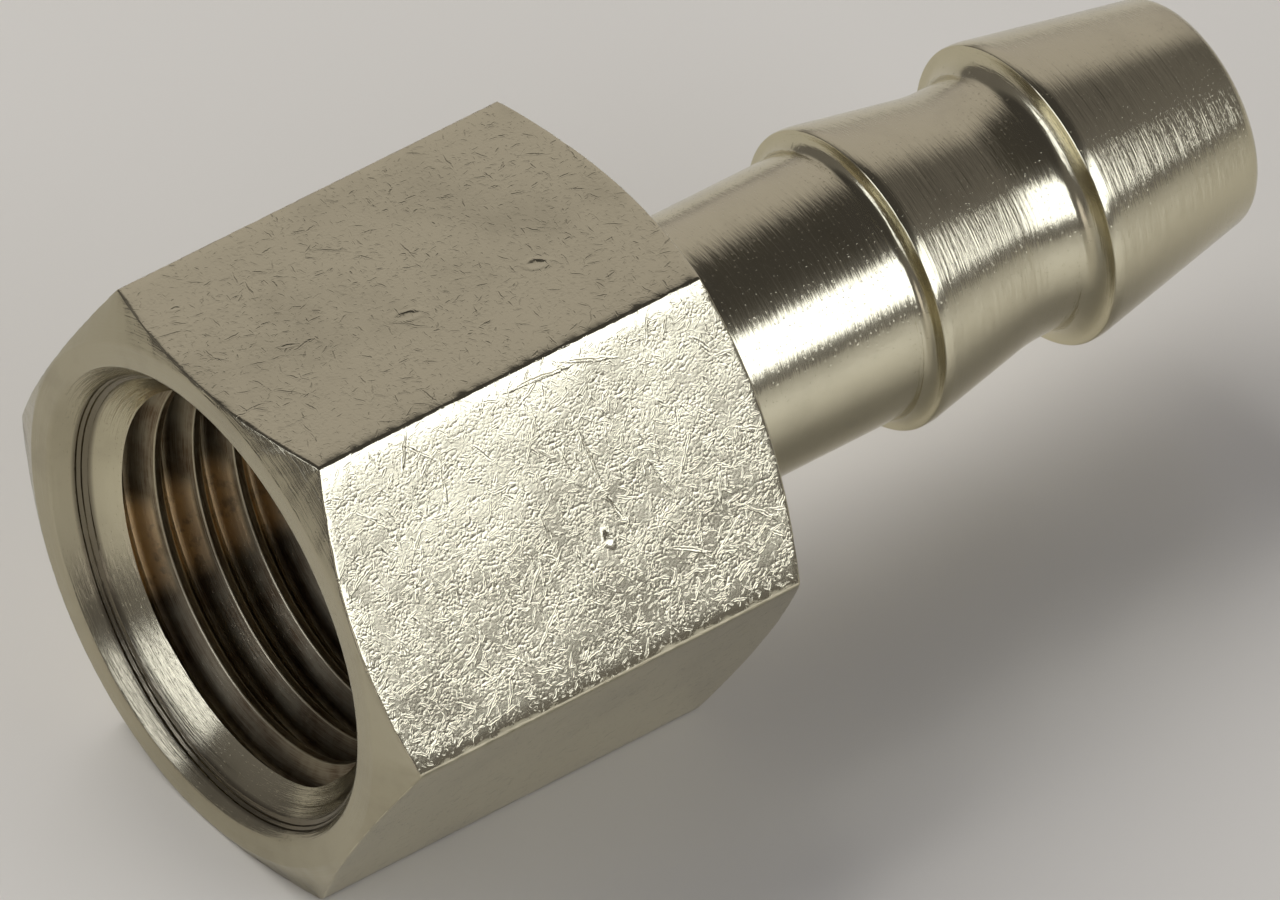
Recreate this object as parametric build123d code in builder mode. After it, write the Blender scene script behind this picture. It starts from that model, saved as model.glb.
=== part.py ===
from build123d import *
import os
from math import radians, sqrt, tan

# A one-piece turned hose tail fitting, in millimetres. A hexagon with a female pipe thread
# in its mouth runs into a round neck and a barbed tail that a hose is pushed over. It lies
# on one flat of the hexagon, with its axis level along X and the mouth towards -X.

# Mouth: a parallel pipe thread of the quarter inch size, bored here to its crest diameter.
# The tapping drill leaves its point at the bottom of the threaded bore.
thread_crest_diameter = 11.445
thread_depth = 10.0
drill_point_angle = 118.0

# Hexagon: the wall between its flats and the thread's crests, which makes it 16 mm over the
# flats, a spanner size. Its six long edges have a small radius.
hexagon_wall = 2.2775
body_length = 14.25
hexagon_edge_radius = 0.12

# Both ends of the hexagon are turned to a cone, which leaves a round end face a little
# inside the flats. A countersink leaves a narrow ring of the mouth's end face.
end_face_inset = 0.1
mouth_cone_angle = 26.0
back_cone_angle = 24.0
mouth_ring_width = 0.75
countersink_angle = 82.0

# Round neck between the hexagon and the first barb, and the wall around its water way,
# whose edge is broken at the tip
neck_diameter = 8.1
neck_length = 8.05
neck_wall = 1.55
bore_exit_chamfer = 0.2

# Barbs: each has a square shoulder towards the hexagon, a narrow land on its crest and a
# long taper towards the tip. A shallow groove lies between a taper and the next shoulder.
# Crest, groove and tip are given by how far they stand above or below the neck.
barb_count = 2
barb_spacing = 5.95
barb_height = 0.525
barb_land = 0.3
groove_depth = 0.22
groove_length = 1.8
groove_blend_radius = 2.0
shoulder_root_radius = 0.25
tip_length = 6.1
tip_depth = 0.6
tip_radius = 0.45

# Places along the axis, counted from the mouth face
first_shoulder = body_length + neck_length
last_shoulder = first_shoulder + (barb_count - 1) * barb_spacing
overall_length = last_shoulder + tip_length

# Radii about the axis
thread_crest_radius = thread_crest_diameter / 2
flat_radius = thread_crest_radius + hexagon_wall
end_face_radius = flat_radius - end_face_inset
countersink_radius = end_face_radius - mouth_ring_width
neck_radius = neck_diameter / 2
bore_radius = neck_radius - neck_wall
barb_radius = neck_radius + barb_height
groove_radius = neck_radius - groove_depth
tip_end_radius = neck_radius - tip_depth

# The origin lies on the resting plane, under the middle of the fitting's length
mouth_x = -overall_length / 2
axis_height = flat_radius
mouth_centre = (mouth_x, 0, axis_height)
section_plane = Plane(origin=mouth_centre, x_dir=(0, 1, 0), z_dir=(1, 0, 0))
profile_plane = Plane(origin=mouth_centre, x_dir=(1, 0, 0), z_dir=(0, -1, 0))
turning_axis = Axis(mouth_centre, (1, 0, 0))

# Lathe blank that the hexagon bar is turned to: its cones run on past the corners
cone_overrun = 1.0
blank_radius = flat_radius * 2 / sqrt(3) + cone_overrun
mouth_cone_length = (blank_radius - end_face_radius) * tan(radians(mouth_cone_angle))
back_cone_length = (blank_radius - end_face_radius) * tan(radians(back_cone_angle))
blank_outline = [
    (0, 0),
    (0, end_face_radius),
    (mouth_cone_length, blank_radius),
    (body_length - back_cone_length, blank_radius),
    (body_length, end_face_radius),
    (body_length, 0),
]

# Outline of the tail: neck, barbs and tip. It starts inside the hexagon, so that the two
# are one piece, and the lists keep the corners that get each radius.
tail_outline = [(body_length / 2, 0), (body_length / 2, neck_radius)]
shoulder_roots = []
groove_starts = []
foot_radius = neck_radius
for number in range(barb_count):
    shoulder = first_shoulder + number * barb_spacing
    if number > 0:
        groove_starts.append((shoulder - groove_length, groove_radius))
        tail_outline.append(groove_starts[-1])
        foot_radius = groove_radius
    shoulder_roots.append((shoulder, foot_radius))
    tail_outline += [shoulder_roots[-1], (shoulder, barb_radius), (shoulder + barb_land, barb_radius)]
tip_corner = (overall_length, tip_end_radius)
tail_outline += [tip_corner, (overall_length, 0)]

# Outline of the hollow: countersink, threaded bore, drill point, water way, broken edge
countersink_depth = (countersink_radius - thread_crest_radius) / tan(radians(countersink_angle / 2))
drill_point_length = (thread_crest_radius - bore_radius) / tan(radians(drill_point_angle / 2))
hollow_outline = [
    (0, 0),
    (0, countersink_radius),
    (countersink_depth, thread_crest_radius),
    (thread_depth, thread_crest_radius),
    (thread_depth + drill_point_length, bore_radius),
    (overall_length - bore_exit_chamfer, bore_radius),
    (overall_length, bore_radius + bore_exit_chamfer),
    (overall_length, 0),
]


def corners_at(points):
    """The sketch's vertices that lie on the given points of an outline."""
    return [vertices().sort_by_distance(Vector(*point))[0] for point in points]


with BuildPart() as fitting_body:
    # Hexagon bar, with a flat down, turned to the blank's two cones
    with BuildSketch(section_plane):
        RegularPolygon(radius=flat_radius, side_count=6, major_radius=False)
        fillet(vertices(), hexagon_edge_radius)
    extrude(amount=body_length)
    with BuildSketch(profile_plane):
        with BuildLine():
            Polyline(*blank_outline, close=True)
        make_face()
    revolve(axis=turning_axis, mode=Mode.INTERSECT)

    # Neck and barbed tail
    with BuildSketch(profile_plane):
        with BuildLine():
            Polyline(*tail_outline, close=True)
        make_face()
        fillet(corners_at(shoulder_roots), shoulder_root_radius)
        fillet(corners_at(groove_starts), groove_blend_radius)
        fillet(corners_at([tip_corner]), tip_radius)
    revolve(axis=turning_axis)

    # Hollow from end to end
    with BuildSketch(profile_plane):
        with BuildLine():
            Polyline(*hollow_outline, close=True)
        make_face()
    revolve(axis=turning_axis, mode=Mode.SUBTRACT)

fitting_body.part.label = "fitting_body"
export_step(fitting_body.part, "parts/fitting_body.step")
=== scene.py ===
"""Looks of a turned, nickel plated hose tail fitting with a tapped hexagon, in a small studio.

The mesh is worked out in millimetres, as on the fitting's drawing: x runs along the turning
axis from the mouth face, and radii are counted from that axis. It is moved to the frame, in
metres, as the last step.
"""

from __future__ import annotations

import logging
import math
from collections.abc import Sequence
from dataclasses import dataclass, field
from enum import Enum
from functools import partial, reduce
from typing import ClassVar

import bmesh
import bpy
from mathutils import Matrix, Vector, noise

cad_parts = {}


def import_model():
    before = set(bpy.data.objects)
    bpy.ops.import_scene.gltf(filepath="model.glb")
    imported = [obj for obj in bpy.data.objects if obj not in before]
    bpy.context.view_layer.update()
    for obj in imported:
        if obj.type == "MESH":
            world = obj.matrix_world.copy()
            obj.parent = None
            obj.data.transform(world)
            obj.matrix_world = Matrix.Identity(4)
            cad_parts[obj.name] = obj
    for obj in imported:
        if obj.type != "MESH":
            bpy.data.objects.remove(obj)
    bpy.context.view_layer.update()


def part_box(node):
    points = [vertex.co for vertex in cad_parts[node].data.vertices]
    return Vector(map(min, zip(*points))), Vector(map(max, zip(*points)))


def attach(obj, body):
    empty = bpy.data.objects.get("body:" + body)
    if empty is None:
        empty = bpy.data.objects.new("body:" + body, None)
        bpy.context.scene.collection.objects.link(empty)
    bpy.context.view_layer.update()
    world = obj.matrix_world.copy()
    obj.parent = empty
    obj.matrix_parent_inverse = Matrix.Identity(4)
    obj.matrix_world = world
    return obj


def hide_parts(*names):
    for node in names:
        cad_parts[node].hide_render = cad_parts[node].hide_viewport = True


LOG = logging.getLogger("hose_tail_fitting")
NODE = "fitting_body"
METRE = 0.001
# In millimetres: the gaps that are closed after a spin and after the thread's cut, and how
# far a radius may be off
MERGE, WELD, SLACK = 1e-4, 1e-5, 0.01
ORIGIN = (0.0, 0.0, 0.0)

BMesh = bmesh.types.BMesh
BMVert = bmesh.types.BMVert


class Zone(Enum):
    """The finishes of the fitting, by the number of their material slot."""

    TUMBLED = 0
    TURNED = 1
    TAPPED = 2


@dataclass(frozen=True)
class Corner:
    """One corner of a turned outline.

    Args:
        x: Place along the axis, from the mouth face.
        r: Radius about the axis.
        blend: How far from the corner its rounding starts, or 0 for a sharp corner.
        segments: Faces across the rounding.
    """

    x: float
    r: float
    blend: float = 0.0
    segments: int = 3


@dataclass(frozen=True)
class Outline:
    """A half section that a lathe turns about the axis.

    Args:
        corners: The corners in order.
        closed: Whether the last corner joins the first.
    """

    corners: Sequence[Corner]
    closed: bool = True

    def wire(self) -> BMesh:
        """Draws the outline as a wire above the axis, with its corners rounded.

        Returns:
            A new bmesh with one chain of edges.
        """
        bm = bmesh.new()
        points = [bm.verts.new((corner.x, 0.0, corner.r)) for corner in self.corners]
        pairs = list(zip(points, points[1:]))
        if self.closed:
            pairs.append((points[-1], points[0]))
        for start, end in pairs:
            bm.edges.new((start, end))
        for point, corner in zip(points, self.corners):
            if corner.blend > 0.0:
                bmesh.ops.bevel(
                    bm,
                    geom=[point],
                    offset=corner.blend,
                    offset_type="OFFSET",
                    segments=corner.segments,
                    profile=0.5,
                    affect="VERTICES",
                    clamp_overlap=False,
                    material=-1,
                )
        return bm


def spin_about_axis(bm: BMesh, steps: int, angle: float = math.tau, lead: float = 0.0) -> None:
    """Turns everything in a bmesh about the x axis.

    Args:
        bm: Holds the outline's wire.
        steps: Faces round the turn.
        angle: How far it turns.
        lead: How far the outline moves along the axis in the turn.
    """
    bmesh.ops.spin(
        bm,
        geom=bm.verts[:] + bm.edges[:],
        cent=ORIGIN,
        axis=(1.0, 0.0, 0.0),
        dvec=(lead / steps, 0.0, 0.0),
        angle=angle,
        steps=steps,
        use_merge=False,
    )
    bmesh.ops.remove_doubles(bm, verts=bm.verts[:], dist=MERGE)


def radius_of(point: Vector) -> float:
    """Distance of a point from the x axis."""
    return math.hypot(point.y, point.z)


def turn_of(point: Vector) -> float:
    """Angle of a point about the x axis, from straight up towards -Y."""
    return math.atan2(-point.y, point.z)


def smooth_step(value: float, low: float, high: float) -> float:
    """Rises smoothly from 0 at low to 1 at high."""
    share = min(1.0, max(0.0, (value - low) / (high - low)))
    return share * share * (3.0 - 2.0 * share)


def as_object(name: str, bm: BMesh) -> bpy.types.Object:
    """Makes an object of a bmesh, frees the bmesh and links the object to the scene.

    Args:
        name: The object's and its mesh's name.
        bm: The shape, which isn't used afterwards.

    Returns:
        The new object, at the origin.
    """
    mesh = bpy.data.meshes.new(name)
    bm.to_mesh(mesh)
    bm.free()
    obj = bpy.data.objects.new(name, mesh)
    bpy.context.scene.collection.objects.link(obj)
    return obj


@dataclass(frozen=True)
class PipeThread:
    """A quarter inch parallel pipe thread, as the plug that its tap would fill.

    Args:
        pitch: Distance from one groove to the next.
        crest_radius: Radius of the female thread's crests.
        root_radius: Radius of the bottom of its grooves.
        groove_at_side: Where a groove's middle crosses the +Y side of the bore.
        depth: How far in the last groove reaches.
        run_out: Length over which the last groove gets shallower.
        lead_in: How far the plug stands out of the mouth.
        start: Where the grooves begin. Up to there the plug stays under the countersink's cone.
        fade_in: Length over which they reach their full depth.
        steps: Faces round one turn.
        flank_height: Height of the sharp profile, as a share of the pitch.
        flank_angle: Half the angle between two flanks.
        root_blend_share: How far from a sharp root its rounding starts, as a share of the pitch.
        crest_clearance: How far the plug's crests stand over the bore, which keeps the lands clean.
        crest_blend: How far from a crest's corners their rounding starts.
        fade_share: Share of the grooves' height that a fade takes off, to end under the crests.
    """

    pitch: float = 1.337
    crest_radius: float = 5.7225
    root_radius: float = 6.5785
    groove_at_side: float = 0.75
    depth: float = 9.2
    run_out: float = 1.8
    lead_in: float = 0.3
    start: float = 1.34
    fade_in: float = 0.14
    steps: int = 168

    flank_height: ClassVar[float] = 0.960491
    flank_angle: ClassVar[float] = 27.5
    root_blend_share: ClassVar[float] = 0.308
    crest_clearance: ClassVar[float] = 0.01
    crest_blend: ClassVar[float] = 0.05
    fade_share: ClassVar[float] = 1.05

    def zigzag(self) -> Outline:
        """The plug's outline: sharp flanks, then rounded at crest and root.

        Returns:
            An open outline with one crest for each pitch.
        """
        middle = (self.crest_radius + self.root_radius) / 2.0
        half = self.flank_height * self.pitch / 2.0
        blend = self.root_blend_share * self.pitch
        valley = self.crest_radius + self.crest_clearance
        land = (valley - middle + half) * math.tan(math.radians(self.flank_angle))
        turns = math.ceil((self.depth + self.lead_in) / self.pitch) + 3
        # The outline is drawn above the axis, a quarter turn after the +Y side
        first = self.groove_at_side + self.pitch / 4.0 - 2.5 * self.pitch
        corners: list[Corner] = []
        for turn in range(turns):
            start = first + turn * self.pitch
            corners.append(Corner(start + land, valley, self.crest_blend))
            corners.append(Corner(start + self.pitch / 2.0, middle + half, blend, 5))
            corners.append(Corner(start + self.pitch - land, valley, self.crest_blend))
        for end in (0, -1):
            corners[end] = Corner(corners[end].x, valley)
        return Outline(corners, closed=False)

    def plug(self) -> BMesh:
        """Builds the closed plug, which runs out to nothing at its inner end.

        Returns:
            A new bmesh.
        """
        bm = self.zigzag().wire()
        spin_about_axis(bm, self.steps, lead=self.pitch)
        for x, side in ((-self.lead_in, -1.0), (self.depth, 1.0)):
            bmesh.ops.bisect_plane(
                bm,
                geom=bm.verts[:] + bm.edges[:] + bm.faces[:],
                plane_co=(x, 0.0, 0.0),
                plane_no=(side, 0.0, 0.0),
                clear_outer=True,
            )
        open_edges = [edge for edge in bm.edges if edge.is_boundary]
        bmesh.ops.holes_fill(bm, edges=open_edges, sides=0)
        bmesh.ops.recalc_face_normals(bm, faces=bm.faces[:])
        self.fade_out(bm)
        for face in bm.faces:
            face.material_index = Zone.TAPPED.value
        return bm

    def fade_out(self, bm: BMesh) -> None:
        """Draws both ends of the plug in to just under the crest radius."""
        height = self.root_radius - self.crest_radius
        for vert in bm.verts:
            fade = smooth_step(vert.co.x, self.depth - self.run_out, self.depth)
            fade = max(fade, 1.0 - smooth_step(vert.co.x, self.start, self.start + self.fade_in))
            radius = radius_of(vert.co)
            limit = self.root_radius - fade * height * self.fade_share
            if radius > limit:
                vert.co.y *= limit / radius
                vert.co.z *= limit / radius


@dataclass(frozen=True)
class Hexagon:
    """The spanner hexagon between the fitting's two turned cones.

    Args:
        flat_radius: Distance of each flat from the axis.
        length: Length from the mouth face to the back face.
        end_radius: Radius at which both cones meet the end faces.
        front_angle: Slope of the mouth's cone, from the end face.
        back_angle: Slope of the back cone, from the end face.
        edge_radius: Rounding of the six long edges.
        edge_steps: Columns of faces across half of that rounding.
        crown_width: Width along each long edge over which a flat falls away.
        crown_depth: How much it has fallen at the edge.
        crown_power: How late on its way to the edge it falls.
        sides: Number of flats.
        blank_radius: Radius of the round blank, which is past the corners.
    """

    flat_radius: float = 8.0
    length: float = 14.25
    end_radius: float = 7.9
    front_angle: float = 26.0
    back_angle: float = 24.0
    edge_radius: float = 0.16
    edge_steps: int = 3
    crown_width: float = 0.6
    crown_depth: float = 0.012
    crown_power: float = 2.5

    sides: ClassVar[int] = 6
    blank_radius: ClassVar[float] = 9.5

    @property
    def half_side(self) -> float:
        """Half the width of one flat, to the sharp corner."""
        return self.flat_radius * math.tan(math.pi / self.sides)

    def cone_x(self, radius: float, front: bool) -> float:
        """Where one of the cones has a radius, along the axis."""
        rise = radius - self.end_radius
        if front:
            return rise * math.tan(math.radians(self.front_angle))
        return self.length - rise * math.tan(math.radians(self.back_angle))

    def row_x(self, share: float, radius: float) -> float:
        """Place along the axis, as a share of the way from cone to cone at a radius."""
        start, end = self.cone_x(radius, front=True), self.cone_x(radius, front=False)
        return start + (end - start) * share

    def section_point(self, column: int, per_side: int) -> tuple[float, float]:
        """Place of a column of vertices on one flat's cross section.

        Args:
            column: 0 at the corner before the flat, per_side at the one after it.
            per_side: Columns from corner to corner.

        Returns:
            The place along the flat from its middle, and its distance from the axis.
        """
        mirrored = min(column, per_side - column)
        sign = -1.0 if column <= per_side / 2.0 else 1.0
        reach = self.edge_radius * math.tan(math.pi / self.sides)
        if mirrored < self.edge_steps:
            turn = (mirrored / self.edge_steps) * math.pi / self.sides
            along = self.half_side - reach + self.edge_radius * math.sin(math.pi / self.sides - turn)
            height = self.flat_radius - self.edge_radius * (1.0 - math.cos(math.pi / self.sides - turn))
        else:
            share = (mirrored - self.edge_steps) / (per_side / 2.0 - self.edge_steps)
            along = (self.half_side - reach) * (1.0 - share)
            height = self.flat_radius
        near_edge = max(0.0, 1.0 - (self.half_side - along) / self.crown_width)
        return sign * along, height - self.crown_depth * near_edge**self.crown_power


@dataclass
class Fitting:
    """The one-piece fitting: hexagon with a tapped mouth, neck and barbed tail.

    A blend is how far from its corner a rounding starts.
    """

    hexagon: Hexagon = field(default_factory=Hexagon)
    thread: PipeThread = field(default_factory=PipeThread)

    # Mouth: end face, countersink with a fine groove that lies off centre, bore and drill point
    ring_inner_radius: float = 7.15
    ring_outer_blend: float = 0.05
    ring_inner_blend: float = 0.08
    countersink_half_angle: float = 41.0
    step_radius: float = 6.68
    step_width: float = 0.11
    step_depth: float = 0.07
    step_offset: float = 0.15
    step_offset_angle: float = 200.0
    step_blend: float = 0.02
    step_margin: float = 0.1
    inner_cone: Sequence[tuple[float, float]] = ((1.36, 5.97), (0.9, 6.41))
    bore_depth: float = 10.0
    drill_half_angle: float = 59.0

    # Neck and water way
    neck_radius: float = 4.05
    neck_root_blend: float = 0.12
    water_way_radius: float = 2.5
    tip_chamfer: float = 0.2
    chamfer_blend: float = 0.05

    # Barbs, the groove between them, and the tip
    first_shoulder: float = 22.3
    barb_spacing: float = 5.95
    crest_radius: float = 4.575
    crest_land: float = 0.3
    crest_blend: float = 0.05
    land_blend: float = 0.1
    shoulder_root_blends: Sequence[float] = (0.38, 0.6)
    groove_radius: float = 3.83
    groove_length: float = 1.8
    groove_blend: float = 0.45
    tip_end: float = 34.35
    tip_radius: float = 3.45
    tip_blend: float = 0.4

    # Faces over a flat, its rounded arcs, the knocks along its edges, and what counts as sharp
    columns_per_side: int = 48
    flat_rows: int = 120
    arc_bevel: float = 0.045
    nick_depth: float = 0.02
    nick_size: float = 0.14
    nick_start: float = 0.03
    nick_reach: float = 0.13
    nick_share: float = 0.15
    crease_angle: float = 28.0

    def outline(self) -> Outline:
        """The closed half section of the whole fitting, before the hexagon and thread are cut."""
        hexagon, blank = self.hexagon, self.hexagon.blank_radius
        corners = [
            Corner(0.0, self.ring_inner_radius, self.ring_inner_blend),
            Corner(0.0, hexagon.end_radius, self.ring_outer_blend, 4),
        ]
        for row in range(self.flat_rows + 1):
            corners.append(Corner(hexagon.row_x(row / self.flat_rows, blank), blank))
        corners += [
            Corner(hexagon.length, hexagon.end_radius, self.ring_outer_blend, 3),
            Corner(hexagon.length, self.neck_radius, self.neck_root_blend, 3),
        ]
        corners += self.barbs()
        corners += [
            Corner(self.tip_end, self.tip_radius, self.tip_blend, 6),
            Corner(self.tip_end, self.water_way_radius + self.tip_chamfer, self.chamfer_blend),
            Corner(self.tip_end - self.tip_chamfer, self.water_way_radius, self.chamfer_blend),
            Corner(self.bore_depth + self.drill_length, self.water_way_radius),
            Corner(self.bore_depth, self.thread.crest_radius),
            Corner(self.countersink_depth, self.thread.crest_radius),
        ]
        corners += [Corner(*point, self.chamfer_blend) for point in self.inner_cone]
        corners += self.countersink_step()
        return Outline(corners)

    def countersink_step(self) -> list[Corner]:
        """The fine groove where the countersink's two cuts meet, from the inside out."""
        corners: list[Corner] = []
        for share, depth in ((-1.0, 0.0), (-0.5, 1.0), (0.0, 0.25), (0.5, 0.8), (1.0, 0.0)):
            radius = self.step_radius + share * self.step_width
            bottom = radius + depth * self.step_depth
            corners.append(Corner(self.cone_x(radius), bottom, self.step_blend, 2))
        return corners

    def cone_x(self, radius: float) -> float:
        """Where the countersink's cone has a radius, along the axis."""
        return (self.ring_inner_radius - radius) / math.tan(math.radians(self.countersink_half_angle))

    def barbs(self) -> list[Corner]:
        """The outline of neck end, shoulders, crests and grooves, up to the last taper."""
        corners: list[Corner] = []
        foot = self.neck_radius
        for number, root_blend in enumerate(self.shoulder_root_blends):
            shoulder = self.first_shoulder + number * self.barb_spacing
            if number > 0:
                foot = self.groove_radius
                corners.append(Corner(shoulder - self.groove_length, foot, self.groove_blend, 6))
            corners += [
                Corner(shoulder, foot, root_blend, 7),
                Corner(shoulder, self.crest_radius, self.crest_blend),
                Corner(shoulder + self.crest_land, self.crest_radius, self.land_blend),
            ]
        return corners

    @property
    def drill_length(self) -> float:
        """Length of the drill point's cone."""
        fall = self.thread.crest_radius - self.water_way_radius
        return fall / math.tan(math.radians(self.drill_half_angle))

    @property
    def countersink_depth(self) -> float:
        """How far in the countersink meets the crests' radius."""
        return self.cone_x(self.thread.crest_radius)

    def shift_step(self, bm: BMesh) -> None:
        """Slides the countersink's fine groove along the cone, so that it lies off centre."""
        reach = self.step_width + self.step_depth
        slope = math.tan(math.radians(self.countersink_half_angle))
        outermost = self.ring_inner_radius - self.step_margin
        for vert in bm.verts:
            radius = radius_of(vert.co)
            on_cone = vert.co.x < self.countersink_depth and radius < outermost
            if not on_cone or abs(radius - self.step_radius) > reach:
                continue
            angle = math.atan2(vert.co.z, vert.co.y) - math.radians(self.step_offset_angle)
            slide = self.step_offset * math.cos(angle)
            vert.co.x -= slide / slope
            vert.co.y *= (radius + slide) / radius
            vert.co.z *= (radius + slide) / radius

    def turn(self) -> BMesh:
        """Turns the outline about the axis: a spin over one flat, then five copies of it."""
        bm = self.outline().wire()
        sector = math.tau / self.hexagon.sides
        spin_about_axis(bm, self.columns_per_side, sector)
        first = bm.verts[:] + bm.edges[:] + bm.faces[:]
        for side in range(1, self.hexagon.sides):
            copy = bmesh.ops.duplicate(bm, geom=first)["geom"]
            bmesh.ops.rotate(
                bm,
                verts=[item for item in copy if isinstance(item, BMVert)],
                cent=ORIGIN,
                matrix=Matrix.Rotation(side * sector, 3, "X"),
            )
        bmesh.ops.remove_doubles(bm, verts=bm.verts[:], dist=MERGE)
        bmesh.ops.recalc_face_normals(bm, faces=bm.faces[:])
        for face in bm.faces:
            face.material_index = Zone.TURNED.value
        return bm

    def mill_hexagon(self, bm: BMesh) -> None:
        """Brings the blank's rows in to the six flats and rounds the arcs at their ends."""
        hexagon, per_side = self.hexagon, self.columns_per_side
        front_x, back_x = (hexagon.row_x(share, hexagon.blank_radius) for share in (0.0, 1.0))
        step = math.tau / (per_side * hexagon.sides)
        arcs: dict[int, set[BMVert]] = {0: set(), self.flat_rows: set()}
        flats: set[BMVert] = set()
        for vert in bm.verts:
            radius = radius_of(vert.co)
            if radius < hexagon.blank_radius - SLACK:
                continue
            # Columns are counted from the corner half a side before the top flat's middle
            angle = turn_of(vert.co)
            count = round(angle / step) + per_side // 2
            side, column = divmod(count, per_side)
            along, height = hexagon.section_point(column, per_side)
            share = (vert.co.x - front_x) / (back_x - front_x)
            on_top = Vector((hexagon.row_x(share, math.hypot(along, height)), -along, height))
            vert.co = Matrix.Rotation(side * math.tau / hexagon.sides, 3, "X") @ on_top
            flats.add(vert)
            row = round(share * self.flat_rows)
            if row in arcs:
                arcs[row].add(vert)
        for face in bm.faces:
            if all(vert in flats for vert in face.verts):
                face.material_index = Zone.TUMBLED.value
        rims = [edge for edge in bm.edges if any(set(edge.verts) <= ring for ring in arcs.values())]
        bmesh.ops.bevel(
            bm,
            geom=rims,
            offset=self.arc_bevel,
            offset_type="OFFSET",
            segments=3,
            profile=0.5,
            affect="EDGES",
            clamp_overlap=False,
            material=-1,
        )

    def knock_edges(self, bm: BMesh) -> None:
        """Dents the hexagon's long edges and arcs a little, always inwards."""
        hexagon = self.hexagon
        half_turn = math.pi / hexagon.sides
        bm.normal_update()
        moves: list[tuple[BMVert, Vector]] = []
        for vert in bm.verts:
            radius = radius_of(vert.co)
            if radius < hexagon.end_radius + 2.0 * SLACK or vert.co.x > hexagon.length:
                continue
            angle = turn_of(vert.co)
            across = (angle + half_turn) % (2.0 * half_turn) - half_turn
            edge_gap = hexagon.half_side - abs(radius * math.sin(across))
            arc_gap = min(
                abs(vert.co.x - hexagon.cone_x(radius, front=True)),
                abs(vert.co.x - hexagon.cone_x(radius, front=False)),
            )
            near = 1.0 - smooth_step(min(edge_gap, arc_gap), self.nick_start, self.nick_reach)
            if near <= 0.0:
                continue
            rough = noise.fractal(vert.co / self.nick_size, 0.8, 2.0, 3)
            depth = self.nick_depth * near * max(0.0, rough + self.nick_share)
            moves.append((vert, vert.normal * -depth))
        for vert, move in moves:
            vert.co += move

    def trim_flats(self, bm: BMesh) -> None:
        """Takes off what a rounded rim stands over a flat."""
        hexagon = self.hexagon
        turn = math.tau / hexagon.sides
        for vert in bm.verts:
            if vert.co.x > hexagon.length:
                continue
            side = round(turn_of(vert.co) / turn)
            outward = Matrix.Rotation(side * turn, 3, "X") @ Vector((0.0, 0.0, 1.0))
            excess = vert.co.dot(outward) - hexagon.flat_radius
            if excess > 0.0:
                vert.co -= outward * excess

    def tap(self, blank: bpy.types.Object) -> bpy.types.Mesh:
        """Cuts the thread's grooves into the bore.

        Args:
            blank: The fitting without its thread.

        Returns:
            The mesh of the tapped fitting.
        """
        plug = as_object("thread_plug", self.thread.plug())
        cut = blank.modifiers.new("thread", "BOOLEAN")
        cut.operation = "DIFFERENCE"
        cut.solver = "MANIFOLD"
        cut.object = plug
        view = bpy.context.evaluated_depsgraph_get()
        mesh = bpy.data.meshes.new_from_object(blank.evaluated_get(view))
        for obj in (blank, plug):
            old = obj.data
            bpy.data.objects.remove(obj)
            bpy.data.meshes.remove(old)
        return mesh

    def finish_mesh(self, mesh: bpy.types.Mesh) -> BMesh:
        """Marks the bore's finish and the sharp edges, and lays the surface map."""
        bm = bmesh.new()
        bm.from_mesh(mesh)
        bpy.data.meshes.remove(mesh)
        bmesh.ops.remove_doubles(bm, verts=bm.verts[:], dist=WELD)
        self.mark_bore(bm)
        limit = math.radians(self.crease_angle)
        for face in bm.faces:
            face.smooth = True
        for edge in bm.edges:
            edge.smooth = edge.calc_face_angle(0.0) < limit
        self.map_surface(bm)
        return bm

    def mark_bore(self, bm: BMesh) -> None:
        """Gives the threaded bore and the drill point the tapped finish."""
        deepest = self.bore_depth + self.drill_length
        for face in bm.faces:
            centre = face.calc_center_median()
            radius = radius_of(centre)
            inside = radius < self.thread.crest_radius + 2.0 * SLACK and face.normal.dot(centre) < 0.0
            if inside and self.countersink_depth < centre.x < deepest:
                face.material_index = Zone.TAPPED.value

    def map_surface(self, bm: BMesh) -> None:
        """Lays a map in millimetres: along the axis, and round the flats or the turned surfaces."""
        hexagon = self.hexagon
        layer = bm.loops.layers.uv.new("surface")
        turn = math.tau / hexagon.sides
        for face in bm.faces:
            centre = face.calc_center_median()
            angle = turn_of(centre)
            flat = face.material_index == Zone.TUMBLED.value
            side = round(angle / turn) if flat else 0
            around = hexagon.half_side if centre.x < hexagon.length else self.neck_radius
            back = Matrix.Rotation(-side * turn if flat else -angle, 3, "X")
            for loop in face.loops:
                local = back @ loop.vert.co
                if flat:
                    loop[layer].uv = (local.x, -local.y + side * 2.0 * hexagon.half_side)
                else:
                    swing = angle + turn_of(local)
                    loop[layer].uv = (local.x - radius_of(local), swing * around)

    def mesh(self, place: Matrix) -> bpy.types.Mesh:
        """Builds the whole fitting.

        Args:
            place: Takes the drawing's millimetres to the frame's metres.

        Returns:
            The finished mesh, in the frame.
        """
        bm = self.turn()
        self.shift_step(bm)
        self.mill_hexagon(bm)
        self.knock_edges(bm)
        self.trim_flats(bm)
        tapped = self.tap(as_object("turned_blank", bm))
        bm = self.finish_mesh(tapped)
        bmesh.ops.transform(bm, matrix=place, verts=bm.verts[:])
        mesh = bpy.data.meshes.new("hose_tail_fitting")
        bm.to_mesh(mesh)
        bm.free()
        return mesh


Node = bpy.types.Node
NodeTree = bpy.types.NodeTree
Socket = bpy.types.NodeSocket
Value = float | Socket
Triple = tuple[float, float, float]

SCALAR_RESULTS = ("LENGTH", "DISTANCE", "DOT_PRODUCT")
# Detail and roughness of two kinds of noise
CLOUDY, SPOTTY = (4.0, 0.6), (3.0, 0.6)
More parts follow.
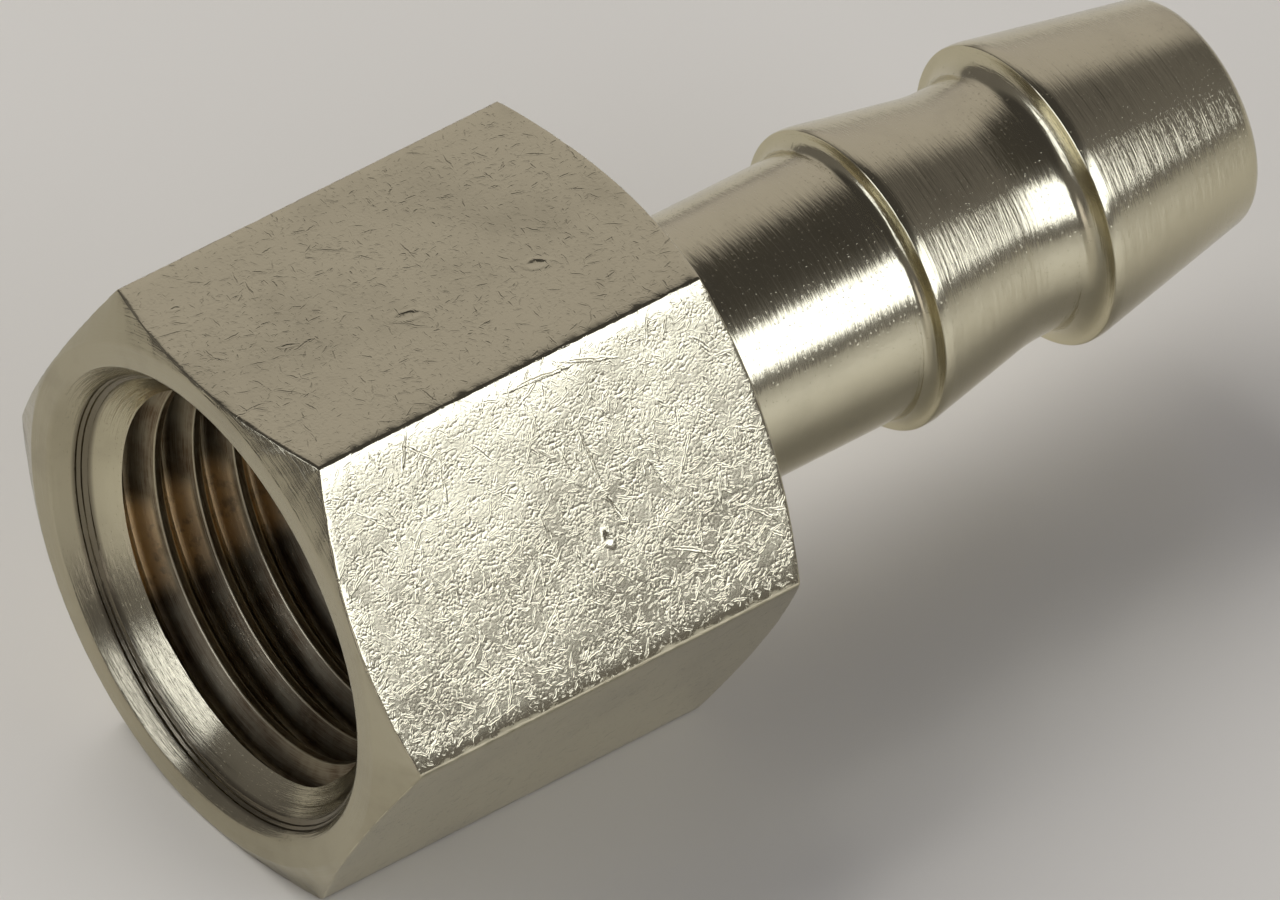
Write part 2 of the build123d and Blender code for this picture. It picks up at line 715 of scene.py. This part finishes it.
# Height of a nick's rim, and the squared distances from its middle where the rim is
# highest and where it ends, as shares of the nick's depth and size
RIM_HEIGHT, RIM_TOP, RIM_END = 0.3, 1.1, 3.2
# Least and greatest length of a stroke, as shares of the length that is asked for
SHORTEST, LONGEST = 0.4, 1.2
# Share of a band's half width over which it is even, before it fades
EVEN = 0.4
# How fast the tool's rings follow one another over a face, against along the axis
FACE_RINGS = 2.3


@dataclass
class Net:
    """Adds nodes to a shader tree and links them as they are made."""

    tree: NodeTree

    def feed(self, socket: Socket, value: object) -> None:
        """Links an input to a node's output, or sets its own value."""
        if isinstance(value, Socket):
            self.tree.links.new(value, socket)
        else:
            socket.default_value = value

    def node(self, kind: str, inputs: dict[str | int, object] | None = None, **settings: object) -> Node:
        """Adds a node.

        Args:
            kind: The node's type, without its ShaderNode prefix.
            inputs: Sockets to link or values to set, by name or number.
            settings: The node's own properties.

        Returns:
            The new node.
        """
        made = self.tree.nodes.new(kind if kind.startswith("Node") else f"ShaderNode{kind}")
        for name, value in settings.items():
            setattr(made, name, value)
        for name, value in (inputs or {}).items():
            self.feed(made.inputs[name], value)
        return made

    def group(self, tree: NodeTree, **inputs: object) -> Socket:
        """Places a node group and returns its output."""
        return self.node("Group", inputs, node_tree=tree).outputs[0]

    def math(self, operation: str, *values: Value) -> Socket:
        """Adds a Math node and returns its result."""
        return self.node("Math", dict(enumerate(values)), operation=operation).outputs[0]

    def times(self, *values: Value) -> Socket:
        """Multiplies values."""
        return reduce(partial(self.math, "MULTIPLY"), values)

    def plus(self, *values: Value) -> Socket:
        """Adds values up."""
        return reduce(partial(self.math, "ADD"), values)

    def vector(self, operation: str, *values: object) -> Socket:
        """Adds a Vector Math node and returns its result."""
        made = self.node("VectorMath", dict(enumerate(values)), operation=operation)
        return made.outputs["Value" if operation in SCALAR_RESULTS else "Vector"]

    def noise(self, vector: Socket, scale: float, detail: float = 2.0, roughness: float = 0.5) -> Socket:
        """Adds a 3-D noise and returns its value, about 0.5 in the middle."""
        inputs = {"Vector": vector, "Scale": scale, "Detail": detail, "Roughness": roughness}
        return self.node("TexNoise", inputs).outputs[0]

    def remap(self, value: Value, *span: float) -> Socket:
        """Maps a value smoothly from one range to another and stops at its ends.

        Args:
            value: The value.
            span: The range that it comes from, and then the one that it goes to, which is
                0 to 1 where it is left out.

        Returns:
            The mapped value.
        """
        inputs = dict(enumerate((value, *span)))
        return self.node("MapRange", inputs, interpolation_type="SMOOTHSTEP").outputs[0]

    def off_axis(self, place: Socket) -> Socket:
        """The part of a place that points away from the x axis."""
        return self.vector("MULTIPLY", place, (0.0, 1.0, 1.0))


def height_group(name: str, **inputs: float | Triple) -> tuple[Net, bpy.types.NodeOutputs, Socket]:
    """Starts a shader node group that works out a height over the surface.

    Args:
        name: The group's name.
        inputs: Default values by name. A tuple makes a vector socket, a number a value socket.

    Returns:
        The group's net, the outputs of its input node, and the socket that takes the height.
    """
    tree = bpy.data.node_groups.new(name, "ShaderNodeTree")
    for label, value in inputs.items():
        kind = "NodeSocketVector" if isinstance(value, tuple) else "NodeSocketFloat"
        tree.interface.new_socket(label, in_out="INPUT", socket_type=kind).default_value = value
    tree.interface.new_socket("Height", in_out="OUTPUT", socket_type="NodeSocketFloat")
    net = Net(tree)
    return net, net.node("NodeGroupInput").outputs, net.node("NodeGroupOutput").inputs["Height"]


def nick(net: Net, offset: Socket, angle: Socket, length: Socket, width: Socket) -> Socket:
    """Adds the nodes of one nick with a raised rim.

    Args:
        net: Where the nodes go.
        offset: How far the surface is from the nick's middle.
        angle: Turn that brings the nick to the x axis.
        length: Half its length.
        width: Half its width.

    Returns:
        Its height: -1 in its middle, over 0 along its rim, and 0 away from it.
    """
    turned = net.node("VectorRotate", {"Vector": offset, "Angle": angle}, rotation_type="Z_AXIS")
    axes = net.node("SeparateXYZ", {0: turned.outputs[0]}).outputs
    along, across = net.math("DIVIDE", axes[0], length), net.math("DIVIDE", axes[1], width)
    far = net.plus(net.times(along, along), net.times(across, across))
    cut, rim = net.remap(far, 1.0, 0.0), net.remap(far, RIM_END, RIM_TOP)
    return net.plus(net.times(cut, -1.0 - RIM_HEIGHT), net.times(rim, RIM_HEIGHT))


def strokes_group() -> NodeTree:
    """Short straight nicks, one in each cell, each with its own turn and length."""
    inputs = {"Cell": 0.4, "Length": 0.3, "Width": 0.04, "Share": 0.5}
    net, start, height = height_group("Strokes", Vector=ORIGIN, **inputs)
    scaled = net.vector("DIVIDE", start["Vector"], start["Cell"])
    cells = net.node("TexVoronoi", {"Vector": scaled, "Scale": 1.0}, voronoi_dimensions="2D")
    drawn = net.node("SeparateColor", {0: cells.outputs["Color"]}).outputs
    offset = net.vector("SUBTRACT", scaled, cells.outputs["Position"])
    offset = net.vector("MULTIPLY", offset, start["Cell"])
    share = net.plus(net.times(drawn[2], LONGEST - SHORTEST), SHORTEST)
    length = net.times(start["Length"], share)
    stroke = nick(net, offset, net.times(drawn[0], math.tau), length, start["Width"])
    net.feed(height, net.times(stroke, net.math("LESS_THAN", drawn[1], start["Share"])))
    return net.tree


def pebble_group() -> NodeTree:
    """Low rounded grains with creases between them, as tumbling hammers them."""
    net, start, height = height_group("Pebbles", Vector=ORIGIN, Cell=0.15)
    scaled = net.vector("DIVIDE", start["Vector"], start["Cell"])
    cells = net.node("TexVoronoi", {"Vector": scaled, "Scale": 1.0}, voronoi_dimensions="2D")
    far = cells.outputs["Distance"]
    net.feed(height, net.times(far, far, -2.0))
    return net.tree


def dent_group() -> NodeTree:
    """One dent or scratch at a chosen place of the surface map."""
    inputs = {"Place": ORIGIN, "Angle": 0.0, "Length": 0.3, "Width": 0.1}
    net, start, height = height_group("Dent", Vector=ORIGIN, **inputs)
    offset = net.vector("SUBTRACT", start["Vector"], start["Place"])
    net.feed(height, nick(net, offset, start["Angle"], start["Length"], start["Width"]))
    return net.tree


def lathe_group() -> NodeTree:
    """Fine rings that a turning tool leaves round the axis, on faces and tapers alike."""
    net, start, height = height_group("Lathe marks", Vector=ORIGIN, Spacing=0.05, Wander=0.6)
    outward = net.off_axis(start["Vector"])
    x = net.node("SeparateXYZ", {0: start["Vector"]}).outputs[0]
    along = net.math("SUBTRACT", x, net.times(net.vector("LENGTH", outward), FACE_RINGS))
    ring = net.node("CombineXYZ", {0: net.math("DIVIDE", along, start["Spacing"])}).outputs[0]
    around = net.vector("MULTIPLY", net.vector("NORMALIZE", outward), start["Wander"])
    net.feed(height, net.noise(net.vector("ADD", around, ring), 1.0, 3.0, 0.7))
    return net.tree


@dataclass(frozen=True)
class Effects:
    """The node groups that the finishes share."""

    strokes: NodeTree = field(default_factory=strokes_group)
    pebbles: NodeTree = field(default_factory=pebble_group)
    dent: NodeTree = field(default_factory=dent_group)
    lathe: NodeTree = field(default_factory=lathe_group)


@dataclass(frozen=True)
class Plate:
    """Bright nickel, as the frozen values that every finish of it starts from.

    Args:
        axis_height: Height of the turning axis over the floor, in metres.
        mouth_x: Place of the mouth face along the axis, in millimetres.
        name: The material's name.
        roughness: Spread of the reflection.
        color: Reflectance straight on.
        residue: Colour of what tumbling and tapping left on the plate; on the turned surfaces it also
            serves as the colour of painted shade.
    """

    axis_height: float
    mouth_x: float
    name: str = "nickel"
    roughness: float = 0.1
    color: Triple = (0.65, 0.6, 0.43)
    residue: Triple = (0.12, 0.1, 0.07)

    def relief_and_color(self, net: Net, effects: Effects, surface: Socket) -> tuple[Socket, Socket]:
        """Adds what is the finish's own.

        Args:
            net: The material's net.
            effects: The shared node groups.
            surface: The fitting's surface map, in millimetres.

        Returns:
            The finish's height over the surface, in millimetres, and its colour.
        """
        raise NotImplementedError

    def material(self, effects: Effects) -> bpy.types.Material:
        """Builds the material."""
        material = bpy.data.materials.new(self.name)
        material.use_nodes = True
        net = Net(material.node_tree)
        surface = net.node("UVMap", uv_map="surface").outputs[0]
        relief, color = self.relief_and_color(net, effects, surface)
        bump = net.node("Bump", {"Height": relief, "Strength": 1.0, "Distance": METRE})
        shader = net.tree.nodes["Principled BSDF"].inputs
        shader["Metallic"].default_value = 1.0
        shader["Roughness"].default_value = self.roughness
        net.feed(shader["Base Color"], color)
        net.feed(shader["Normal"], bump.outputs[0])
        return material

    def centred(self, net: Net) -> Socket:
        """Object coordinates in millimetres, with the turning axis on their x axis."""
        place = net.node("TexCoord").outputs["Object"]
        lift, scale = (0.0, 0.0, -self.axis_height / METRE), (1.0 / METRE,) * 3
        return net.node("Mapping", {"Vector": place, "Location": lift, "Scale": scale}).outputs[0]

    def stained(self, net: Net, amount: Socket) -> Socket:
        """The plate's colour, darkened towards the residue where the amount is high."""
        inputs = {0: amount, 6: (*self.color, 1.0), 7: (*self.residue, 1.0)}
        return net.node("Mix", inputs, data_type="RGBA").outputs[2]


@dataclass(frozen=True)
class Patches:
    """Soft patches over a surface.

    Args:
        scale: Scale of their noise, for each millimetre.
        low: Noise under which the result is the least.
        high: Noise over which it is the most.
        least: Result between the patches.
        most: Result inside them.
        detail: Detail of the noise.
        roughness: Roughness of the noise.
    """

    scale: float
    low: float
    high: float
    least: float = 0.0
    most: float = 1.0
    detail: float = 2.0
    roughness: float = 0.5

    def amount(self, net: Net, place: Socket) -> Socket:
        """Adds the patches' nodes and returns their value."""
        noise_here = net.noise(place, self.scale, self.detail, self.roughness)
        return net.remap(noise_here, self.low, self.high, self.least, self.most)


@dataclass(frozen=True)
class Layer:
    """One layer of nicks, in millimetres.

    Args:
        cell: Distance from one nick to the next.
        length: Half the length of a nick.
        width: Half its width.
        share: Share of the cells that have a nick.
        depth: Depth of a nick.
        shift: Moves the layer, so that no two of them are alike.
    """

    cell: float
    length: float
    width: float
    share: float
    depth: float
    shift: float = 0.0

    def height(self, net: Net, effects: Effects, surface: Socket) -> Socket:
        """Adds the layer's nodes and returns its height in millimetres."""
        moved = net.vector("ADD", surface, (self.shift, self.shift * 0.7, 0.0))
        sizes = {"Cell": self.cell, "Length": self.length, "Width": self.width, "Share": self.share}
        return net.times(net.group(effects.strokes, Vector=moved, **sizes), self.depth)


@dataclass(frozen=True)
class Dent:
    """One dent or scratch that can be told apart from the rest, in millimetres.

    Args:
        x: Its place along the axis, from the mouth face.
        around: Its place round the flats, from the middle of the top flat.
        angle: Its slant, in degrees.
        length: Half its length.
        width: Half its width.
        depth: Its depth.
    """

    x: float
    around: float
    angle: float
    length: float
    width: float
    depth: float

    def height(self, net: Net, effects: Effects, surface: Socket) -> Socket:
        """Adds the dent's nodes and returns its height in millimetres."""
        place = {"Place": (self.x, self.around, 0.0), "Angle": -math.radians(self.angle)}
        sizes = {"Length": self.length, "Width": self.width}
        return net.times(net.group(effects.dent, Vector=surface, **place, **sizes), self.depth)


@dataclass(frozen=True)
class TumbledPlate(Plate):
    """The hexagon's flats: satin, crinkled and nicked all over by tumbling.

    Args:
        layers: The nicks, from the finest to the coarsest.
        nick_patches: Share of their depth, from patch to patch.
        nick_stain: Heights in a nick between which residue comes in, and how much of it.
        dents: Dents and scratches with places of their own.
        grain_cell: Width of the fine grains between the nicks.
        grain_depth: Height of those grains.
        grain_spots: Share of that height, from spot to spot.
        bend: How far the marks are pushed out of line.
        bend_scale: Scale of the noise that pushes them.
        wave_depth: Height of the slow waves over a flat.
        wave_scale: Scale of those waves' noise.
        cloud: Faint patches of residue.
        cloud_shift: Moves them against the other patches.
    """

    name: str = "tumbled_nickel"
    roughness: float = 0.11
    layers: Sequence[Layer] = (
        Layer(0.19, 0.08, 0.019, 0.75, 0.0015, 21.3),
        Layer(0.34, 0.14, 0.028, 0.8, 0.0026, 3.1),
        Layer(0.6, 0.22, 0.034, 0.65, 0.004, 7.7),
        Layer(1.25, 0.42, 0.036, 0.35, 0.0042, 12.3),
    )
    nick_patches: Patches = Patches(0.45, 0.35, 0.65, 0.55, 1.15)
    nick_stain: Sequence[float] = (-0.002, -0.005, 0.0, 0.35)
    dents: Sequence[Dent] = (
        Dent(1.5, -2.9, 10.0, 0.15, 0.07, 0.007),
        Dent(3.07, 0.16, 25.0, 0.22, 0.07, 0.008),
        Dent(6.4, 1.13, 15.0, 0.42, 0.16, 0.012),
        Dent(10.53, 1.55, 20.0, 0.32, 0.17, 0.014),
        Dent(9.0, 9.5, 70.0, 0.5, 0.05, 0.009),
        Dent(8.5, 10.2, 80.0, 0.24, 0.12, 0.009),
        Dent(8.0, 5.2, 4.0, 0.75, 0.05, 0.009),
        Dent(9.6, 5.35, 20.0, 0.6, 0.045, 0.009),
        Dent(8.75, 7.85, 85.0, 0.9, 0.04, 0.008),
        Dent(3.4, 5.3, -65.0, 0.45, 0.04, 0.008),
    )
    grain_cell: float = 0.095
    grain_depth: float = 0.0007
    grain_spots: Patches = Patches(1.5, 0.4, 0.62, 0.25, 1.6, *SPOTTY)
    bend: float = 0.16
    bend_scale: float = 3.0
    wave_depth: float = 0.02
    wave_scale: float = 0.25
    cloud: Patches = Patches(0.3, 0.45, 0.75, 0.0, 0.16, *CLOUDY)
    cloud_shift: Triple = (31.0, 5.0, 0.0)

    def relief_and_color(self, net: Net, effects: Effects, surface: Socket) -> tuple[Socket, Socket]:
        """The finish's height over the surface, in millimetres, and its colour."""
        warp = net.node("TexNoise", {"Vector": surface, "Scale": self.bend_scale, "Detail": 2.0})
        bent = net.vector("MULTIPLY_ADD", warp.outputs["Color"], (self.bend, self.bend, 0.0), surface)
        nicks = net.plus(*[layer.height(net, effects, bent) for layer in self.layers])
        grain = net.group(effects.pebbles, Vector=bent, Cell=self.grain_cell)
        marks = [
            net.times(nicks, self.nick_patches.amount(net, surface)),
            net.times(grain, self.grain_spots.amount(net, surface), self.grain_depth),
            net.times(net.noise(surface, self.wave_scale), self.wave_depth),
        ]
        marks += [dent.height(net, effects, bent) for dent in self.dents]
        cloud = self.cloud.amount(net, net.vector("ADD", surface, self.cloud_shift))
        stain = net.plus(net.remap(nicks, *self.nick_stain), cloud)
        return net.plus(*marks), self.stained(net, stain)


@dataclass(frozen=True)
class TurnedPlate(Plate):
    """Everything that the lathe left: smooth, with fine rings round the axis.

    Args:
        ring_depth: Height of the tool's fine rings.
        cloud: Faint patches of residue.
        residue_and_shade_length: How far from the mouth face the plating is darkened, partly as brown
            residue and partly as painted shade; the groove's painted shade stops there too.
        residue_and_shade_full: How far from it the darkening is at its most.
        face_residue_and_shade: How much residue and painted shade is there.
        groove_painted_shade: How much painted shade is put along the countersink's fine groove.
        step_radius: Radius of that groove.
        step_centre: How far that groove lies off the axis, towards +Y and up.
        step_width: How far to either side of the groove the painted shade reaches.
        nicks: Small nicks that handling left.
    """

    name: str = "turned_nickel"
    roughness: float = 0.16
    ring_depth: float = 0.009
    cloud: Patches = Patches(0.5, 0.45, 0.75, 0.0, 0.12, *CLOUDY)
    residue_and_shade_length: float = 1.6
    residue_and_shade_full: float = 0.3
    face_residue_and_shade: float = 0.36
    groove_painted_shade: float = 0.85
    step_radius: float = 6.68
    step_centre: tuple[float, float] = (-0.141, -0.051)
    step_width: float = 0.26
    nicks: Layer = Layer(0.2, 0.035, 0.022, 0.5, 0.0026, 5.0)

    def relief_and_color(self, net: Net, effects: Effects, surface: Socket) -> tuple[Socket, Socket]:
        """The finish's height over the surface, in millimetres, and its colour."""
        place = self.centred(net)
        fine = net.group(effects.lathe, Vector=place, Spacing=0.1, Wander=3.0)
        coarse = net.group(effects.lathe, Vector=place, Spacing=0.5, Wander=1.0)
        marks = [
            net.times(fine, self.ring_depth),
            net.times(coarse, self.ring_depth * 2.0),
            self.nicks.height(net, effects, surface),
        ]
        x = net.node("SeparateXYZ", {0: place}).outputs[0]
        from_mouth = net.math("SUBTRACT", x, self.mouth_x)
        # Darker near the mouth face: partly brown residue, partly painted shade.
        face = net.remap(from_mouth, self.residue_and_shade_length, self.residue_and_shade_full, 0.0, self.face_residue_and_shade)
        # Painted shade along the countersink's fine groove, which lies off centre.
        off_centre = net.vector("DISTANCE", net.off_axis(place), (0.0, *self.step_centre))
        gap = net.math("ABSOLUTE", net.math("SUBTRACT", off_centre, self.step_radius))
        groove = net.remap(gap, self.step_width, self.step_width * EVEN, 0.0, self.groove_painted_shade)
        groove = net.times(groove, net.math("LESS_THAN", from_mouth, self.residue_and_shade_length))
        # The darkening mixes random residue patches with the partly painted shade at the mouth and the
        # painted shade along the groove.
        stain = net.math("MAXIMUM", net.plus(self.cloud.amount(net, place), face), groove)
        return net.plus(*marks), self.stained(net, stain)


@dataclass(frozen=True)
class TappedPlate(Plate):
    """The thread, where the plating is thin and brown with residue.

    Args:
        crest_radius: Radius of the crests.
        rubbed_height: How far over that radius the crests' corners are rubbed bright.
        rubbed_width: How far over and under that height they are rubbed.
        rubbed_residue: How much residue stays there.
        ring_depth: Height of the tap's fine rings.
        nicks: The tap's small tears.
        painted_reflection_color: Painted reflection: a bright brass colour put on the grooves' flanks in
            place of the warm light they mirror.
        reflection_toward: Where the painted reflection is, as a direction from the axis: the side of the
            bore's wall that faces the camera.
        reflection_range: Cosines of the angles from there at which it starts and is full.
        reflection_heights: Heights over the crests' radius at which it starts and is full.
        reflection_spots: Share of it that is painted, from spot to spot.
    """

    name: str = "tapped_nickel"
    roughness: float = 0.36
    residue: Triple = (0.17, 0.115, 0.065)
    crest_radius: float = 5.7225
    rubbed_height: float = 0.034
    rubbed_width: float = 0.022
    rubbed_residue: float = 0.35
    ring_depth: float = 0.005
    nicks: Layer = Layer(0.2, 0.04, 0.025, 0.5, 0.003, 5.0)
    painted_reflection_color: Triple = (0.98, 0.76, 0.46)
    reflection_toward: Triple = (0.0, 0.883, -0.469)
    reflection_range: tuple[float, float] = (0.963, 0.993)
    reflection_heights: tuple[float, float] = (0.1, 0.25)
    reflection_spots: Patches = Patches(2.0, 0.3, 0.5, 0.5, 1.0, *SPOTTY)

    def relief_and_color(self, net: Net, effects: Effects, surface: Socket) -> tuple[Socket, Socket]:
        """The finish's height over the surface, in millimetres, and its colour."""
        place = self.centred(net)
        rings = net.group(effects.lathe, Vector=place, Spacing=0.07, Wander=4.0)
        marks = net.plus(net.times(rings, self.ring_depth), self.nicks.height(net, effects, surface))
        outward = net.off_axis(place)
        radius = net.vector("LENGTH", outward)
        off_corner = net.math("SUBTRACT", radius, self.crest_radius + self.rubbed_height)
        off_corner = net.math("ABSOLUTE", off_corner)
        band = self.rubbed_width * EVEN, self.rubbed_width
        groove = net.remap(off_corner, *band, self.rubbed_residue, 1.0)
        cloud = net.times(rings, net.noise(place, 0.8, *CLOUDY))
        stain = net.times(groove, net.remap(cloud, 0.15, 0.4, 0.55, 1.0))
        # Painted reflection: a bright brass colour on the grooves' flanks on the side of the bore that
        # faces the camera, in place of the warm light they mirror.
        facing = net.vector("DOT_PRODUCT", net.vector("NORMALIZE", outward), self.reflection_toward)
        painted_reflection = net.times(
            net.remap(facing, *self.reflection_range),
            net.remap(radius, *[self.crest_radius + height for height in self.reflection_heights]),
            self.reflection_spots.amount(net, place),
        )
        colors = {0: painted_reflection, 6: self.stained(net, stain), 7: (*self.painted_reflection_color, 1.0)}
        return marks, net.node("Mix", colors, data_type="RGBA").outputs[2]


def direction(azimuth: float, elevation: float) -> Vector:
    """A unit vector. Azimuth 0 points to -Y and 90 to +X, in degrees."""
    a, e = math.radians(azimuth), math.radians(elevation)
    return Vector((math.sin(a) * math.cos(e), -math.cos(a) * math.cos(e), math.sin(e)))


@dataclass(frozen=True)
class Softbox:
    """A rectangular soft light that faces the fitting.

    Args:
        name: The lamp's name.
        azimuth: Where it stands round the fitting, in degrees.
        elevation: How high it stands, in degrees.
        width: Its width as an angle seen from the fitting, in degrees.
        height: Its height as an angle, in degrees.
        radiance: Its brightness, where 1 is a white surface.
        color: The colour of its light.
        mirrored: Whether the metal mirrors it. Otherwise it only lights the floor.
        distance: How far it stands, in metres.
    """

    name: str
    azimuth: float
    elevation: float
    width: float
    height: float
    radiance: float
    color: Triple = (1.0, 1.0, 1.0)
    mirrored: bool = True
    distance: float = 0.45

    def build(self) -> None:
        """Hangs the lamp."""
        lamp = bpy.data.lights.new(self.name, "AREA")
        lamp.shape = "RECTANGLE"
        lamp.size = 2.0 * self.distance * math.tan(math.radians(self.width) / 2.0)
        lamp.size_y = 2.0 * self.distance * math.tan(math.radians(self.height) / 2.0)
        lamp.energy = self.radiance * math.pi * lamp.size * lamp.size_y
        lamp.color = self.color
        holder = bpy.data.objects.new(self.name, lamp)
        toward = direction(self.azimuth, self.elevation)
        holder.location = toward * self.distance
        holder.rotation_euler = toward.to_track_quat("Z", "Y").to_euler()
        holder.visible_glossy = self.mirrored
        bpy.context.scene.collection.objects.link(holder)


@dataclass(frozen=True)
class Wall:
    """A pale wall of the room, as a soft round patch of the world.

    Args:
        azimuth: Where its middle is, in degrees.
        elevation: How high its middle is, in degrees.
        inner: Angle from its middle up to which it is even, in degrees.
        outer: Angle from its middle at which it has faded out, in degrees.
        radiance: Its brightness over the rest of the room.
    """

    azimuth: float
    elevation: float
    inner: float
    outer: float
    radiance: float

    def add_to(self, net: Net, look: Socket) -> Socket:
        """Adds the wall's nodes.

        Args:
            net: The world's net.
            look: The direction that the world is seen in.

        Returns:
            The wall's brightness.
        """
        aim = tuple(direction(self.azimuth, self.elevation))
        low, high = math.cos(math.radians(self.outer)), math.cos(math.radians(self.inner))
        return net.remap(net.vector("DOT_PRODUCT", look, aim), low, high, 0.0, self.radiance)


@dataclass(frozen=True)
class Room:
    """The studio's walls and ceiling, as a soft world that is darker overhead.

    Args:
        ceiling: Radiance overhead.
        side: Radiance of the room's sides.
        ceiling_edge: Height of the look, as a sine, over which the side gives way to the ceiling.
        walls: Its paler walls.
        tint: Colour of the room's light.
    """

    ceiling: float = 0.055
    side: float = 0.15
    ceiling_edge: tuple[float, float] = (0.6, 0.85)
    walls: Sequence[Wall] = (Wall(140.0, 24.0, 16.0, 33.0, 0.33), Wall(-30.0, 8.0, 6.0, 14.0, 0.7))
    tint: Triple = (1.06, 1.0, 1.0)

    def build(self) -> None:
        """Sets up the world."""
        world = bpy.data.worlds.new("room")
        world.use_nodes = True
        net = Net(world.node_tree)
        look = net.vector("NORMALIZE", net.node("TexCoord").outputs["Generated"])
        up = net.node("SeparateXYZ", {0: look}).outputs[2]
        base = net.remap(up, *self.ceiling_edge, self.side, self.ceiling)
        sky = world.node_tree.nodes["Background"].inputs
        sky["Color"].default_value = (*self.tint, 1.0)
        net.feed(sky["Strength"], net.plus(base, *[wall.add_to(net, look) for wall in self.walls]))
        bpy.context.scene.world = world


@dataclass(frozen=True)
class Floor:
    """A plain pale floor under the fitting.

    Args:
        radius: Its radius, in metres.
        color: Its pale grey.
        roughness: Spread of its faint gloss.
    """

    radius: float = 4.0
    color: Triple = (0.7, 0.67, 0.61)
    roughness: float = 0.28

    def build(self) -> None:
        """Lays the floor at height 0."""
        bm = bmesh.new()
        bmesh.ops.create_circle(bm, cap_ends=True, radius=self.radius, segments=96)
        floor = as_object("floor", bm)
        material = bpy.data.materials.new("pale_floor")
        material.use_nodes = True
        shader = material.node_tree.nodes["Principled BSDF"]
        shader.inputs["Base Color"].default_value = (*self.color, 1.0)
        shader.inputs["Roughness"].default_value = self.roughness
        floor.data.materials.append(material)


@dataclass(frozen=True)
class PhotoCamera:
    """The camera at the photograph's angle.

    Args:
        azimuth: Where it stands round the fitting, in degrees.
        elevation: How high it looks from, in degrees.
        roll: Turn about its own axis, in degrees.
        distance: From the aim point, in metres.
        aim: The point in the middle of the picture, in metres.
        lens: Focal length in millimetres, for a 36 mm wide sensor.
    """

    azimuth: float = -37.275
    elevation: float = 41.894
    roll: float = 0.169
    distance: float = 0.7329
    aim: Triple = (-0.00237, -0.00042, 0.00603)
    lens: float = 743.4

    def build(self) -> None:
        """Makes the scene's camera."""
        data = bpy.data.cameras.new("photo_camera")
        data.sensor_width = 36.0
        data.lens = self.lens
        data.clip_start, data.clip_end = 0.05, 20.0
        camera = bpy.data.objects.new("photo_camera", data)
        back = direction(self.azimuth, self.elevation)
        facing = back.to_track_quat("Z", "Y").to_matrix()
        turn = Matrix.Rotation(math.radians(self.roll), 3, "Z")
        camera.rotation_euler = (facing @ turn).to_euler()
        camera.location = Vector(self.aim) + back * self.distance
        bpy.context.scene.collection.objects.link(camera)
        bpy.context.scene.camera = camera


def build_fitting() -> bpy.types.Object:
    """Builds the dressed fitting in the place of its CAD node.

    Returns:
        The finished object.
    """
    low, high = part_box(NODE)
    axis_height = (low.z + high.z) / 2.0
    place = Matrix.Translation((low.x, 0.0, axis_height)) @ Matrix.Scale(METRE, 4)
    effects = Effects()
    finishes = {Zone.TUMBLED: TumbledPlate, Zone.TURNED: TurnedPlate, Zone.TAPPED: TappedPlate}
    mouth_x = low.x / METRE
    made = {zone: finish(axis_height, mouth_x).material(effects) for zone, finish in finishes.items()}
    fitting = bpy.data.objects.new("hose_tail_fitting", Fitting().mesh(place))
    bpy.context.scene.collection.objects.link(fitting)
    for zone in Zone:
        fitting.data.materials.append(made[zone])
    shading = fitting.modifiers.new("even_shading", "WEIGHTED_NORMAL")
    shading.keep_sharp = True
    shading.weight = 100
    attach(fitting, "root")
    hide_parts(NODE)
    LOG.info("%s: %d faces", fitting.name, len(fitting.data.polygons))
    return fitting


def build_studio() -> None:
    """Sets up the floor, the room, the lamps and the camera."""
    bpy.context.scene.view_settings.view_transform = "Standard"
    Floor().build()
    Room().build()
    for softbox in (
        Softbox("right_softbox", 26.0, 27.2, 42.0, 29.8, 2.4, (0.95, 1.0, 1.14)),
        Softbox("left_softbox", -89.0, 32.0, 46.0, 18.0, 1.8, (0.95, 1.0, 1.14)),
        Softbox("floor_light", 200.0, 50.0, 50.0, 34.0, 4.2, mirrored=False),
    ):
        softbox.build()
        LOG.info("%s: at azimuth %.0f, elevation %.0f", softbox.name, softbox.azimuth, softbox.elevation)
    PhotoCamera().build()


def main() -> None:
    """Builds the fitting and its studio."""
    logging.basicConfig(level=logging.INFO, format="%(name)s: %(message)s")
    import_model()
    build_fitting()
    build_studio()
    bpy.context.view_layer.update()


if __name__ == "__main__":
    main()
